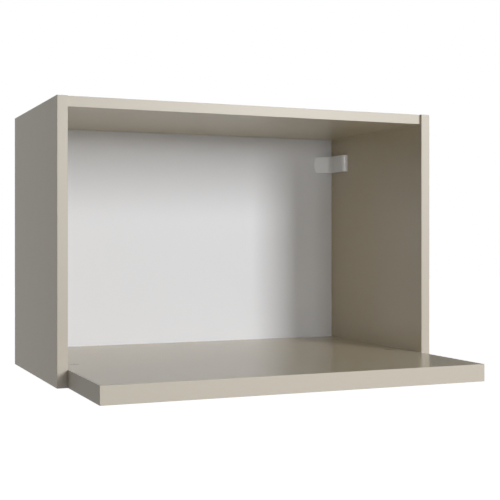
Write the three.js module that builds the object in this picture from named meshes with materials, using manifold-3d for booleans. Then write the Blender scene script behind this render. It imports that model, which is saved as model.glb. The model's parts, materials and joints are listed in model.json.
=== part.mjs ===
// A wall-hung microwave cabinet: an open carcass of melamine-faced board with a thick bottom shelf
// that stands out in front, a thin white back, cam-and-dowel corner joints and two adjustable hangers.
// Millimetres, +Z up, +X to the right as seen from the room, the front facing -Y.
// The origin is the middle of the footprint, on the underside.
import * as THREE from "three";
import { mergeVertices } from "three/addons/utils/BufferGeometryUtils.js";
import Module from "manifold-3d";

const wasm = await Module();
wasm.setup();

// Carcass
const cabinetWidth = 600;
const cabinetHeight = 404;
const sideDepth = 311; // front edge to rear edge of a side
const shelfProjection = 168; // how far the shelf stands out in front of the sides
const boardThickness = 15; // sides and top
const shelfThickness = 25;
const topSetback = 4.5; // how far the top's front edge lies behind the sides'
const edgingThickness = 1;
const backThickness = 3;
const backRebate = 8; // how far the back reaches into a side
const backTrim = 1; // how much the back stops short at the top and at the bottom

const depth = sideDepth + shelfProjection;
const outerX = cabinetWidth / 2;
const innerX = outerX - boardThickness;
const shelfFrontY = -depth / 2;
const sideFrontY = shelfFrontY + shelfProjection;
const topFrontY = sideFrontY + topSetback;
const rearY = depth / 2;
const backFrontY = rearY - backThickness;
const topUnderZ = cabinetHeight - boardThickness;

// Corner joints: a bolt screwed into the side, a cam in the level board that pulls on it, and a dowel
const frontCamInset = 62.5; // from the sides' front plane to the front cam
const rearCamInset = 246.5;
const dowelSpacing = 32; // from a cam to its dowel
const camEndDistance = 24; // from the board's end to the cam's axis
const camRadius = 7.35;
const camHoleRadius = 7.6;
const camHoleFloor = 0.5; // room under a cam
const camRecess = { shelf: 1.4, top: 0.25 }; // how far a cam's top lies below the board's face
const camBelowBolt = { shelf: 5, top: 4.25 };
const camTurn = 190; // degrees from locked to open
const camSides = 20;
const boltSides = 10;
const ballRadius = 3.3;
const ballRoom = { locked: 3.45, open: 4.35 }; // the cavity's radius around the ball
const ballMouth = 3.6; // half the width of the way in for the ball
const neckRadius = 1.8;
const neckRoom = 2.1; // half the width of the slot for the neck
const driveCross = { length: 6, width: 1.5, depth: 2.5 };
const boltThread = { radius: 2.4, length: 11, holeRadius: 2.6, holeDepth: 12 };
const boltShank = { radius: 2.6, length: 16, holeRadius: 3.5 };
const boltCollar = { radius: 3.2, thickness: 2 };
const dowel = { radius: 4, inSide: 11, inBoard: 19, chamfer: 1, holeRadius: 4.2, holeSlack: 1 };
const cap = { thickness: 1.2, chamfer: 0.3, sink: 0.05, crossLength: 5, crossWidth: 1, crossDepth: 2 };

// Screws that hold the back
const backScrew = { headRadius: 3, headDepth: 2, radius: 1.5, length: 16, sink: 0.25, clearance: 0.25 };
const backScrewSpread = 140; // from the middle to each screw along the top and the bottom
const backScrewX = outerX - 11; // in the rebate of a side

// Hanger, in its own frame: x = 0 is the side's inner face, y = 0 the back's front face,
// z = 0 the middle of its cover, and the cabinet's inside lies towards -x and -y
const hangerZ = topUnderZ - 46.25;
const hangerAxisZ = 1; // the arm's middle, above the cover's middle
const cover = {
  height: 30.5,
  wall: 1,
  front: -62.5,
  frontThickness: 10.5,
  frontCornerY: -53.7,
  rearThickness: 8.1,
  rearCornerY: -14.2,
  reach: 36, // along the back, at mid height
  reachAtEdges: 32.1,
};
const cutOut = { width: 28, height: 26 }; // in the back, behind the cover
const housing = {
  front: -52.5,
  rear: -16,
  flangeRear: -25.5,
  plate: 1.25,
  flange: 1.25,
  thickness: 7.5,
  halfHeight: 11.75,
};
const peg = {
  radius: 5,
  length: 11,
  holeRadius: 5.2,
  holeDepth: 11.5,
  places: [-46, -24],
  drop: 2,
  sides: 16,
};
const fixingScrew = { y: -21, rise: 8.5, headRadius: 2.6, radius: 1.5, length: 12, clearance: 0.25 };
const carriage = {
  halfHeight: 5.75,
  bar: 1.5,
  innerFace: -3.25,
  lugFace: -1.5,
  front: -50.5,
  lug: 3,
  nutFront: -34,
  nutRear: -27,
};
const heightScrew = {
  x: -5.375,
  y: -30.5,
  radius: 1.5,
  holeRadius: 1.65,
  headRadius: 2.4,
  head: 2.25,
  play: 0.1, // between the head and what it bears on
};
const depthScrew = {
  x: -5,
  radius: 1.75,
  holeRadius: 1.9,
  headRadius: 2.5,
  head: 2.4,
  end: -34.75,
  play: 0.1,
};
const arm = {
  outerFace: -1.5,
  plate: 1.25,
  hook: 2.5,
  front: -42,
  ear: 2.5,
  earHalfHeight: 4,
  earFace: -7.5,
  hookFront: -21.5,
  notchFront: -10.5,
  notchRear: -5.5,
  rear: -2,
  top: 5,
  bottom: -4,
  notchRoof: 1,
  tabBottom: -8.5,
};
const screwSides = 12;
const screwCross = { length: 2.6, width: 0.7, depth: 1 };

const overcut = 1; // how far a cutting shape runs past the face that it opens

const finishes = {
  melamine: { color: 0xc3bcaf, roughness: 0.35, metalness: 0 },
  edging: { color: 0xc6bfb2, roughness: 0.35, metalness: 0 },
  whiteBack: { color: 0xe6e6e5, roughness: 0.5, metalness: 0 },
  beech: { color: 0xc9a87c, roughness: 0.7, metalness: 0 },
  zinc: { color: 0x9b9b97, roughness: 0.45, metalness: 0.8 },
  steel: { color: 0xb4b2a8, roughness: 0.4, metalness: 0.9 },
  coverPlastic: { color: 0xe2e2e0, roughness: 0.4, metalness: 0 },
  capPlastic: { color: 0xb4ad9f, roughness: 0.45, metalness: 0 },
};

// A closed geometry as a solid that can be joined and cut.
function solidOf(geometry) {
  const bare = geometry.clone();
  bare.deleteAttribute("normal");
  bare.deleteAttribute("uv");
  const merged = mergeVertices(bare);
  return new wasm.Manifold(
    new wasm.Mesh({
      numProp: 3,
      vertProperties: merged.attributes.position.array,
      triVerts: new Uint32Array(merged.index.array),
    }),
  );
}

function geometryOf(solid) {
  const mesh = solid.getMesh();
  const geometry = new THREE.BufferGeometry();
  geometry.setAttribute("position", new THREE.BufferAttribute(mesh.vertProperties, mesh.numProp));
  geometry.setIndex(new THREE.BufferAttribute(mesh.triVerts, 1));
  const faceted = geometry.toNonIndexed();
  faceted.computeVertexNormals();
  return faceted;
}

function join(...geometries) {
  return geometryOf(geometries.map(solidOf).reduce((whole, piece) => whole.add(piece)));
}

function cut(geometry, ...tools) {
  return geometryOf(tools.map(solidOf).reduce((whole, tool) => whole.subtract(tool), solidOf(geometry)));
}

function overlapOf(first, second) {
  return geometryOf(solidOf(first).intersect(solidOf(second)));
}

// A rectangular block between two opposite corners.
function block(low, high) {
  const size = high.map((value, axis) => value - low[axis]);
  const centre = high.map((value, axis) => (value + low[axis]) / 2);
  return new THREE.BoxGeometry(...size).translate(...centre);
}

// Turns a geometry made along +Y so that it runs along the named axis.
function alongAxis(geometry, axis) {
  if (axis === "x") return geometry.rotateZ(-Math.PI / 2);
  if (axis === "z") return geometry.rotateX(Math.PI / 2);
  return geometry;
}

// A straight round bar from one point to another that differs from it along one axis only.
function bar(radius, start, end, sides) {
  const axis = ["x", "y", "z"].find((_, index) => start[index] !== end[index]);
  const length = Math.hypot(...end.map((value, index) => value - start[index]));
  const centre = end.map((value, index) => (value + start[index]) / 2);
  return alongAxis(new THREE.CylinderGeometry(radius, radius, length, sides), axis).translate(...centre);
}

// The shape that drills a blind hole: it starts just outside the mouth.
function drill(radius, mouth, end, sides) {
  const start = mouth.map((value, index) => value + Math.sign(value - end[index]) * overcut);
  return bar(radius, start, end, sides);
}

// A turned piece from [radius, place along the axis] pairs, listed from its low end to its high end.
function turned(profile, axis, sides) {
  const points = profile.map(([radius, place]) => new THREE.Vector2(radius, place));
  return alongAxis(new THREE.LatheGeometry(points, sides), axis);
}

// A flat outline in x and y, raised from one height to another.
function raised(outline, bottom, top, curveSegments = 5) {
  const shape = Array.isArray(outline) ? new THREE.Shape(outline) : outline;
  const options = { depth: top - bottom, bevelEnabled: false, curveSegments };
  return new THREE.ExtrudeGeometry(shape, options).translate(0, 0, bottom);
}

function piece(name, geometry, finish) {
  const mesh = new THREE.Mesh(geometry, new THREE.MeshStandardMaterial(finishes[finish]));
  mesh.name = name;
  return mesh;
}

// A board between two corners, with holes given in the cabinet's frame.
function panel(name, low, high, finish, tools = []) {
  const centre = high.map((value, axis) => (value + low[axis]) / 2);
  const board = new THREE.BoxGeometry(...high.map((value, axis) => value - low[axis]));
  const local = tools.map((tool) => tool.translate(...centre.map((value) => -value)));
  const mesh = piece(name, local.length ? cut(board, ...local) : board, finish);
  mesh.position.set(...centre);
  return mesh;
}

const hands = { left: -1, right: 1 };

// Every corner joint, with the places that its drilled holes share.
const cornerJoints = [];
for (const [level, boltZ, faceZ] of [
  ["shelf", shelfThickness / 2, shelfThickness],
  ["top", topUnderZ + boardThickness / 2, cabinetHeight],
])
  for (const [hand, sign] of Object.entries(hands))
    for (const [end, inset, towardsMiddle] of [
      ["front", frontCamInset, 1],
      ["rear", rearCamInset, -1],
    ]) {
      const camY = sideFrontY + inset;
      const dowelY = camY + towardsMiddle * dowelSpacing;
      cornerJoints.push({ name: `${level}_${hand}_${end}`, level, sign, boltZ, faceZ, camY, dowelY });
    }

function sideHoles(sign) {
  return cornerJoints
    .filter((joint) => joint.sign === sign)
    .flatMap(({ boltZ, camY, dowelY }) => [
      drill(
        boltThread.holeRadius,
        [sign * innerX, camY, boltZ],
        [sign * (innerX + boltThread.holeDepth), camY, boltZ],
        boltSides,
      ),
      drill(
        dowel.holeRadius,
        [sign * innerX, dowelY, boltZ],
        [sign * (innerX + dowel.inSide + dowel.holeSlack), dowelY, boltZ],
        boltSides,
      ),
    ]);
}

function endHoles(level, signs = [-1, 1]) {
  return cornerJoints
    .filter((joint) => joint.level === level && signs.includes(joint.sign))
    .flatMap(({ sign, boltZ, camY, dowelY }) => [
      drill(
        boltShank.holeRadius,
        [sign * innerX, camY, boltZ],
        [sign * (innerX - camEndDistance), camY, boltZ],
        boltSides,
      ),
      drill(
        dowel.holeRadius,
        [sign * innerX, dowelY, boltZ],
        [sign * (innerX - dowel.inBoard - dowel.holeSlack), dowelY, boltZ],
        boltSides,
      ),
    ]);
}

function camHoles(level) {
  return cornerJoints
    .filter((joint) => joint.level === level)
    .map(({ sign, boltZ, faceZ, camY }) => {
      const camX = sign * (innerX - camEndDistance);
      const floor = boltZ - camBelowBolt[level] - camHoleFloor;
      return drill(camHoleRadius, [camX, camY, faceZ], [camX, camY, floor], camSides);
    });
}

const backScrewPlaces = [
  ["side_left", -backScrewX, cabinetHeight / 2],
  ["side_right", backScrewX, cabinetHeight / 2],
  ["top_left", -backScrewSpread, topUnderZ + boardThickness / 2],
  ["top_right", backScrewSpread, topUnderZ + boardThickness / 2],
  ["shelf_left", -backScrewSpread, shelfThickness / 2],
  ["shelf_right", backScrewSpread, shelfThickness / 2],
];

// The blind holes of the back's screws in the board that each one bites into.
function backScrewHoles(board) {
  return backScrewPlaces
    .filter(([name]) => name.startsWith(board))
    .map(([, x, z]) =>
      drill(
        backScrew.radius + backScrew.clearance,
        [x, backFrontY, z],
        [x, rearY - backScrew.length - overcut, z],
        screwSides,
      ),
    );
}

function hangerHoles(sign) {
  const y = (place) => backFrontY + place;
  const axisZ = hangerZ + hangerAxisZ;
  const pegHoles = peg.places.map((place) =>
    drill(
      peg.holeRadius,
      [sign * innerX, y(place), axisZ - peg.drop],
      [sign * (innerX + peg.holeDepth), y(place), axisZ - peg.drop],
      peg.sides,
    ),
  );
  const screwHole = drill(
    fixingScrew.radius + fixingScrew.clearance,
    [sign * innerX, y(fixingScrew.y), axisZ + fixingScrew.rise],
    [sign * (innerX + fixingScrew.length), y(fixingScrew.y), axisZ + fixingScrew.rise],
    screwSides,
  );
  return [...pegHoles, screwHole];
}

function sidePanel(hand) {
  const sign = hands[hand];
  const x = [sign * innerX, sign * outerX].sort((a, b) => a - b);
  const rebateX = [sign * (innerX - overcut), sign * (innerX + backRebate)].sort((a, b) => a - b);
  const rebate = block(
    [rebateX[0], backFrontY, -overcut],
    [rebateX[1], rearY + overcut, cabinetHeight + overcut],
  );
  return panel(
    `side_${hand}`,
    [x[0], sideFrontY + edgingThickness, 0],
    [x[1], rearY, cabinetHeight],
    "melamine",
    [rebate, ...sideHoles(sign), ...hangerHoles(sign), ...backScrewHoles(`side_${hand}`)],
  );
}

function sideEdging(hand) {
  const sign = hands[hand];
  const x = [sign * innerX, sign * outerX].sort((a, b) => a - b);
  return panel(
    `edging_side_${hand}`,
    [x[0], sideFrontY, 0],
    [x[1], sideFrontY + edgingThickness, cabinetHeight],
    "edging",
  );
}

function topPanel() {
  return panel(
    "top_panel",
    [-innerX, topFrontY + edgingThickness, topUnderZ],
    [innerX, backFrontY, cabinetHeight],
    "melamine",
    [...endHoles("top"), ...camHoles("top"), ...backScrewHoles("top")],
  );
}

function topEdging() {
  return panel(
    "edging_top_front",
    [-innerX, topFrontY, topUnderZ],
    [innerX, topFrontY + edgingThickness, cabinetHeight],
    "edging",
  );
}

function bottomShelf() {
  return panel(
    "bottom_shelf",
    [-innerX + edgingThickness, shelfFrontY + edgingThickness, 0],
    [innerX - edgingThickness, backFrontY, shelfThickness],
    "melamine",
    [...endHoles("shelf"), ...camHoles("shelf"), ...backScrewHoles("shelf")],
  );
}

function shelfFrontEdging() {
  return panel(
    "edging_shelf_front",
    [-innerX, shelfFrontY, 0],
    [innerX, shelfFrontY + edgingThickness, shelfThickness],
    "edging",
  );
}

function shelfEndEdging(hand) {
  const sign = hands[hand];
  const x = [sign * innerX, sign * (innerX - edgingThickness)].sort((a, b) => a - b);
  return panel(
    `edging_shelf_${hand}_end`,
    [x[0], shelfFrontY + edgingThickness, 0],
    [x[1], backFrontY, shelfThickness],
    "edging",
    endHoles("shelf", [sign]),
  );
}

// Two crossed bars that cut a drive recess into a face at y = 0 that looks along +Y.
function driveRecess({ length, width, depth: recessDepth }) {
  return [
    [length, width],
    [width, length],
  ].map(([x, z]) => block([-x / 2, -recessDepth, -z / 2], [x / 2, overcut, z / 2]));
}

// A countersunk screw whose head's face is at y = 0 and whose tip points along -Y.
function countersunkScrew({ headRadius, headDepth, radius, length }) {
  const profile = [
    [0, -length],
    [radius, -length + radius],
    [radius, -headDepth],
    [headRadius, 0],
    [0, 0],
  ];
  return cut(turned(profile, "y", screwSides), ...driveRecess(screwCross));
}

// The shape that cuts a countersunk screw's seat through a plate, in the screw's own frame.
function screwSeat({ headRadius, headDepth, radius, clearance }, reach) {
  const profile = [
    [0, -reach],
    [radius + clearance, -reach],
    [radius + clearance, -headDepth],
    [headRadius + clearance, 0],
    [headRadius + clearance, overcut],
    [0, overcut],
  ];
  return turned(profile, "y", screwSides);
}

function backPanel() {
  const reach = innerX + backRebate;
  const cutOuts = Object.values(hands).map((sign) => {
    const x = [sign * innerX, sign * (innerX - cutOut.width)].sort((a, b) => a - b);
    return block(
      [x[0], backFrontY - overcut, hangerZ - cutOut.height / 2],
      [x[1], rearY + overcut, hangerZ + cutOut.height / 2],
    );
  });
  const seats = backScrewPlaces.map(([, x, z]) =>
    screwSeat(backScrew, backThickness + overcut).translate(x, rearY - backScrew.sink, z),
  );
  return panel(
    "back_panel",
    [-reach, backFrontY, backTrim],
    [reach, rearY, cabinetHeight - backTrim],
    "whiteBack",
    [...cutOuts, ...seats],
  );
}

function backScrews() {
  const shape = countersunkScrew(backScrew);
  return backScrewPlaces.map(([name, x, z]) => {
    const screw = piece(`back_screw_${name}`, shape, "steel");
    screw.position.set(x, rearY - backScrew.sink, z);
    return screw;
  });
}

// A bolt along +X: its thread goes into the side, and its ball sits in the cam.
function connectingBolt() {
  const neckMeetsBall = Math.sqrt(ballRadius ** 2 - neckRadius ** 2);
  const firstAngle = Math.asin(neckRadius / ballRadius);
  const ballSteps = 4;
  const ball = Array.from({ length: ballSteps }, (_, step) => {
    const angle = Math.PI - (step * (Math.PI - firstAngle)) / ballSteps;
    const radius = step === 0 ? 0 : ballRadius * Math.sin(angle);
    return [radius, -camEndDistance + ballRadius * Math.cos(angle)];
  });
  const profile = [
    ...ball,
    [neckRadius, -camEndDistance + neckMeetsBall],
    [neckRadius, -boltShank.length],
    [boltShank.radius, -boltShank.length],
    [boltShank.radius, -boltCollar.thickness],
    [boltCollar.radius, -boltCollar.thickness],
    [boltCollar.radius, 0],
    [boltThread.radius, 0],
    [boltThread.radius, boltThread.length - boltThread.radius],
    [0, boltThread.length],
  ];
  return turned(profile, "x", boltSides);
}

// A cam about Z, with its slot open towards +X for the bolt's neck. Turned by camTurn it lets the ball out.
function camLock(below, above) {
  const cavityRadius = (angle) => {
    const share = angle > 0 ? angle / (360 - camTurn) : -angle / camTurn;
    return ballRoom.locked + (ballRoom.open - ballRoom.locked) * share;
  };
  const onCircle = (radius, angle) => {
    const turn = THREE.MathUtils.degToRad(angle);
    return new THREE.Vector2(radius * Math.cos(turn), radius * Math.sin(turn));
  };
  const cavityPoints = 15;
  const cavity = Array.from({ length: cavityPoints }, (_, index) => {
    const angle = -camTurn + (360 * index) / cavityPoints;
    return onCircle(cavityRadius(angle), angle);
  });
  const slotReach = camRadius + overcut;
  const sectorSteps = 8;
  const sector = [new THREE.Vector2(0, 0)];
  for (let step = 0; step <= sectorSteps; step++)
    sector.push(onCircle(slotReach, -camTurn + (camTurn * step) / sectorSteps));
  const mouth = block([0, -ballMouth, -ballMouth], [slotReach, ballMouth, ballMouth]);
  return cut(
    bar(camRadius, [0, 0, -below], [0, 0, above], camSides),
    raised(cavity, -ballMouth, ballMouth),
    raised(sector, -neckRoom, neckRoom),
    block([0, -neckRoom, -neckRoom], [slotReach, neckRoom, neckRoom]),
    mouth.rotateZ(THREE.MathUtils.degToRad(-camTurn)),
    ...driveRecess(driveCross).map((slot) => alongAxis(slot, "z").translate(0, 0, above)),
  );
}

// A cap that fills the hole above the cam: its face is at z = 0, and its cross goes down into the cam's drive.
function camCap() {
  const disc = turned(
    [
      [0, -cap.thickness],
      [camRadius, -cap.thickness],
      [camRadius, -cap.chamfer],
      [camRadius - cap.chamfer, 0],
      [0, 0],
    ],
    "z",
    camSides,
  );
  const foot = -cap.thickness - cap.crossDepth;
  const cross = [
    [cap.crossLength, cap.crossWidth],
    [cap.crossWidth, cap.crossLength],
  ].map(([x, y]) => block([-x / 2, -y / 2, foot], [x / 2, y / 2, -cap.thickness / 2]));
  return join(disc, ...cross);
}

function dowelPin() {
  return turned(
    [
      [0, -dowel.inBoard],
      [dowel.radius - dowel.chamfer, -dowel.inBoard],
      [dowel.radius, -dowel.inBoard + dowel.chamfer],
      [dowel.radius, dowel.inSide - dowel.chamfer],
      [dowel.radius - dowel.chamfer, dowel.inSide],
      [0, dowel.inSide],
    ],
    "x",
    boltSides,
  );
}

// Every cam, bolt, dowel and cap. On the left they are turned half round, so +X still points into the side.
function cornerFittings() {
  const fittings = new THREE.Group();
  const bolt = connectingBolt();
  const pin = dowelPin();
  const lid = camCap();
  const cams = {
    shelf: camLock(camBelowBolt.shelf, shelfThickness / 2 - camRecess.shelf),
    top: camLock(camBelowBolt.top, boardThickness / 2 - camRecess.top),
  };
  for (const { name, level, sign, boltZ, camY, dowelY } of cornerJoints) {
    const joint = new THREE.Group();
    joint.position.set(sign * innerX, camY, boltZ);
    joint.rotation.z = sign > 0 ? 0 : Math.PI;
    const cam = piece(`cam_lock_${name}`, cams[level], "zinc");
    cam.position.x = -camEndDistance;
    const dowelMesh = piece(`dowel_${name}`, pin, "beech");
    dowelMesh.position.y = sign * (dowelY - camY);
    joint.add(piece(`connecting_bolt_${name}`, bolt, "steel"), cam, dowelMesh);
    if (level === "shelf") {
      const capMesh = piece(`cam_cap_${name}`, lid, "capPlastic");
      capMesh.position.set(-camEndDistance, 0, shelfThickness - boltZ - cap.sink);
      joint.add(capMesh);
    }
    fittings.add(joint);
  }
  return fittings;
}

// The cover's outline seen from above, grown smaller by the wall and run past its open faces for the inside.
function coverPlan(wall) {
  const open = wall > 0 ? overcut : 0;
  const frontX = -cover.frontThickness + wall;
  const rearX = -cover.rearThickness + wall;
  const frontY = cover.front + wall;
  const rampSlope = -cover.rearCornerY / (cover.reach - cover.rearThickness);
  const rampY = (x) => (-x - cover.reach) * rampSlope + wall * Math.hypot(1, rampSlope);
  const wingSlope = (rearX - frontX) / (cover.rearCornerY - cover.frontCornerY);
  const bendStart = 8; // how far each side of the inner corner its bend begins
  const shape = new THREE.Shape();
  shape.moveTo(open, frontY);
  shape.lineTo(-1, frontY);
  shape.quadraticCurveTo(frontX + 2, frontY + 1, frontX, cover.frontCornerY);
  shape.lineTo(rearX - wingSlope * bendStart, cover.rearCornerY - bendStart);
  shape.quadraticCurveTo(rearX, rampY(rearX), rearX - bendStart, rampY(rearX - bendStart));
  const tipX = -cover.reach + wall / rampSlope;
  shape.lineTo(tipX, rampY(tipX));
  if (open) shape.lineTo(tipX, open);
  shape.lineTo(open, open);
  return shape;
}

// The cover's outline seen from the room, with its far end bowed.
function coverElevation(wall) {
  const top = cover.height / 2 - wall;
  const end = -cover.reachAtEdges + 2 * wall;
  const bow = 2 * (cover.reach - cover.reachAtEdges);
  const shape = new THREE.Shape();
  shape.moveTo(overcut * 2, -top);
  shape.lineTo(overcut * 2, top);
  shape.lineTo(end, top);
  shape.quadraticCurveTo(end - bow, 0, end, -top);
  return shape;
}

function hangerCover() {
  const layer = (wall) => {
    const plan = raised(coverPlan(wall), -cover.height / 2 + wall, cover.height / 2 - wall);
    const elevation = raised(coverElevation(wall), -overcut * 2, -cover.front + overcut);
    return overlapOf(plan, elevation.rotateX(Math.PI / 2));
  };
  return cut(layer(0), layer(cover.wall));
}

// A die-cast channel against the side, with two pegs pressed into it.
function hangerHousing() {
  const flange = (low, high) =>
    block([-housing.thickness, housing.front, low], [-housing.plate / 2, housing.flangeRear, high]);
  const pegs = peg.places.map((y) =>
    bar(peg.radius, [-housing.plate / 2, y, -peg.drop], [peg.length, y, -peg.drop], peg.sides),
  );
  const channel = join(
    block([-housing.plate, housing.front, -housing.halfHeight], [0, housing.rear, housing.halfHeight]),
    flange(housing.halfHeight - housing.flange, housing.halfHeight),
    flange(-housing.halfHeight, -housing.halfHeight + housing.flange),
    ...pegs,
  );
  const { x, y, holeRadius } = heightScrew;
  const reach = housing.halfHeight + overcut;
  const seat = screwSeat({ ...fixingScrew, headDepth: housing.plate }, housing.plate + overcut);
  seat.rotateZ(Math.PI / 2).translate(-housing.plate, fixingScrew.y, fixingScrew.rise);
  return cut(channel, bar(holeRadius, [x, y, -reach], [x, y, reach], screwSides), seat);
}

// The block that climbs the height screw and carries the depth screw in its front lug.
function hangerCarriage() {
  const { halfHeight, bar: barHeight, innerFace, lugFace, front, lug, nutFront, nutRear } = carriage;
  const outerFace = -housing.thickness;
  const frame = join(
    block([outerFace, front, -halfHeight], [lugFace, front + lug, halfHeight]),
    block([outerFace, front, halfHeight - barHeight], [innerFace, nutRear, halfHeight]),
    block([outerFace, front, -halfHeight], [innerFace, nutRear, -halfHeight + barHeight]),
    block([outerFace, nutFront, -halfHeight], [innerFace, nutRear, halfHeight]),
  );
  const reach = halfHeight + overcut;
  const thread = { x: heightScrew.x, y: heightScrew.y, radius: heightScrew.holeRadius };
  return cut(
    frame,
    bar(
      depthScrew.holeRadius,
      [depthScrew.x, front - overcut, 0],
      [depthScrew.x, front + lug + overcut, 0],
      screwSides,
    ),
    bar(thread.radius, [thread.x, thread.y, -reach], [thread.x, thread.y, reach], screwSides),
  );
}

// The hooked plate: an ear in front that the depth screw pulls, and a notch behind for the wall plate's lip.
function hangerArm() {
  const { outerFace, bottom, top } = arm;
  const hookOutline = [
    [arm.hookFront, bottom],
    [arm.notchFront, bottom],
    [arm.notchFront, arm.notchRoof],
    [arm.notchRear, arm.notchRoof],
    [arm.notchRear, arm.tabBottom],
    [arm.rear, arm.tabBottom],
    [arm.rear, top],
    [arm.hookFront, top],
  ].map(([y, z]) => new THREE.Vector2(y, z));
  const hook = raised(hookOutline, outerFace - arm.hook, outerFace);
  hook.rotateX(Math.PI / 2).rotateZ(Math.PI / 2);
  const plate = block(
    [outerFace - arm.plate, arm.front, bottom],
    [outerFace, arm.hookFront + overcut, top],
  );
  const ear = block(
    [arm.earFace, arm.front, -arm.earHalfHeight],
    [outerFace, arm.front + arm.ear, arm.earHalfHeight],
  );
  const { x, holeRadius } = depthScrew;
  const earRear = arm.front + arm.ear;
  const thread = bar(holeRadius, [x, arm.front - overcut, 0], [x, earRear + overcut, 0], screwSides);
  return cut(join(plate, hook, ear), thread);
}

// Stands upright under the housing's lower flange, with its drive in its underside.
function hangerHeightScrew() {
  const { radius, headRadius, head, play } = heightScrew;
  const seat = -housing.halfHeight - play;
  const profile = [
    [0, seat - head],
    [headRadius, seat - head],
    [headRadius, seat],
    [radius, seat],
    [radius, housing.halfHeight],
    [0, housing.halfHeight],
  ];
  const drive = driveRecess(screwCross).map((slot) => slot.rotateX(-Math.PI / 2));
  drive.forEach((slot) => slot.translate(0, 0, seat - head));
  return cut(turned(profile, "z", screwSides), ...drive);
}

// Lies in the carriage's lug, with its drive facing the room.
function hangerDepthScrew() {
  const { radius, headRadius, head, end, play } = depthScrew;
  const seat = carriage.front - play;
  const profile = [
    [0, seat - head],
    [headRadius, seat - head],
    [headRadius, seat],
    [radius, seat],
    [radius, end],
    [0, end],
  ];
  const drive = driveRecess(screwCross).map((slot) => slot.rotateZ(Math.PI));
  drive.forEach((slot) => slot.translate(0, seat - head, 0));
  return cut(turned(profile, "y", screwSides), ...drive);
}

// One hanger as it sits on the right-hand side. The left-hand one is its mirror image.
function hanger(hand) {
  const mechanism = new THREE.Group();
  mechanism.position.z = hangerAxisZ;
  const heightMesh = piece(`hanger_${hand}_height_screw`, hangerHeightScrew(), "steel");
  heightMesh.position.set(heightScrew.x, heightScrew.y, 0);
  const depthMesh = piece(`hanger_${hand}_depth_screw`, hangerDepthScrew(), "steel");
  depthMesh.position.x = depthScrew.x;
  const fixing = countersunkScrew({ ...fixingScrew, headDepth: housing.plate });
  const fixingMesh = piece(`hanger_${hand}_fixing_screw`, fixing, "steel");
  fixingMesh.position.set(-housing.plate, fixingScrew.y, fixingScrew.rise);
  fixingMesh.rotation.z = Math.PI / 2;
  mechanism.add(
    piece(`hanger_${hand}_housing`, hangerHousing(), "zinc"),
    piece(`hanger_${hand}_carriage`, hangerCarriage(), "zinc"),
    piece(`hanger_${hand}_hook_arm`, hangerArm(), "steel"),
    heightMesh,
    depthMesh,
    fixingMesh,
  );
  const whole = new THREE.Group();
  whole.add(mechanism, piece(`hanger_${hand}_cover`, hangerCover(), "coverPlastic"));
  whole.position.set(hands[hand] * innerX, backFrontY, hangerZ);
  whole.scale.x = hands[hand];
  return whole;
}

const cabinet = new THREE.Group();
for (const hand of Object.keys(hands)) {
  cabinet.add(sidePanel(hand), sideEdging(hand), shelfEndEdging(hand), hanger(hand));
}
cabinet.add(topPanel(), topEdging(), bottomShelf(), shelfFrontEdging(), backPanel(), ...backScrews());
cabinet.add(cornerFittings());

export default cabinet;
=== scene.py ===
import json
import math

import bmesh
import bpy
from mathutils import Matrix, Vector

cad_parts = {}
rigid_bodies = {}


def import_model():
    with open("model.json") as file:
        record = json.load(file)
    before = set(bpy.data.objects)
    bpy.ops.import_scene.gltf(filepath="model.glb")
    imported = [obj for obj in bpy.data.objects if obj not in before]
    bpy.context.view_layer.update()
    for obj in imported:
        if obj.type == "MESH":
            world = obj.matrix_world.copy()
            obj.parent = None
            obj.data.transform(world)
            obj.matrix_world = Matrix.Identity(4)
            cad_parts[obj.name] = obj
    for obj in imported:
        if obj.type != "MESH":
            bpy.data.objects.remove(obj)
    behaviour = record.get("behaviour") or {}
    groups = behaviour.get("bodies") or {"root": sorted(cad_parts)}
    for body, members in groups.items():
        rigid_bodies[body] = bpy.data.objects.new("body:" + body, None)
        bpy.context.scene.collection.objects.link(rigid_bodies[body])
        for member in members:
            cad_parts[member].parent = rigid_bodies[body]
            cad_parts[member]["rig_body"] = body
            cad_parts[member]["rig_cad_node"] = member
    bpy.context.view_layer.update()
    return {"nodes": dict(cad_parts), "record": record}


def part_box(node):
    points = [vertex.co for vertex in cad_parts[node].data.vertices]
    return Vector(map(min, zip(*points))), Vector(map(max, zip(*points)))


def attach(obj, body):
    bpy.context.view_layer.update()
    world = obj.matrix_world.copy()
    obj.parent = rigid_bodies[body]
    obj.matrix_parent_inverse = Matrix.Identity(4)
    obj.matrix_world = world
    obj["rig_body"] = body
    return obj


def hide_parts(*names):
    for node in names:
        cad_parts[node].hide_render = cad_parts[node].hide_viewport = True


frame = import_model()

mm = 0.001
tiny = 0.01 * mm
aligned = 0.99  # a line or a normal lies along an axis when its part along that axis is larger
white = (1, 1, 1, 1)
black = (0, 0, 0, 1)
hands = {"left": -1, "right": 1}
bodyOf = {node: body for body, nodes in frame["record"]["behaviour"]["bodies"].items() for node in nodes}


# The view that the cabinet is drawn from: level, from the left, with the lens shifted a little
camera = {
    "place": (-0.62146, -1.49697, 0.20523),
    "turn": 23.15,  # degrees to the right of straight ahead
    "lens": 75.36,
    "sensor": 36,
    "horizonRow": 239.32,  # of the picture's rows
    "rows": 500,
}


def addCamera():
    data = bpy.data.cameras.new("camera")
    data.lens = camera["lens"]
    data.sensor_width = camera["sensor"]
    data.shift_y = (camera["horizonRow"] - camera["rows"] / 2) / camera["rows"]
    eye = bpy.data.objects.new("camera", data)
    eye.location = camera["place"]
    eye.rotation_euler = (math.radians(90), 0, math.radians(-camera["turn"]))
    bpy.context.scene.collection.objects.link(eye)
    bpy.context.scene.camera = eye


addCamera()
print("camera placed")


# Modelling, as by hand: one piece is active at a time, and nothing else is selected
def select(piece):
    bpy.ops.object.select_all(action="DESELECT")
    piece.select_set(True)
    bpy.context.view_layer.objects.active = piece


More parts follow.
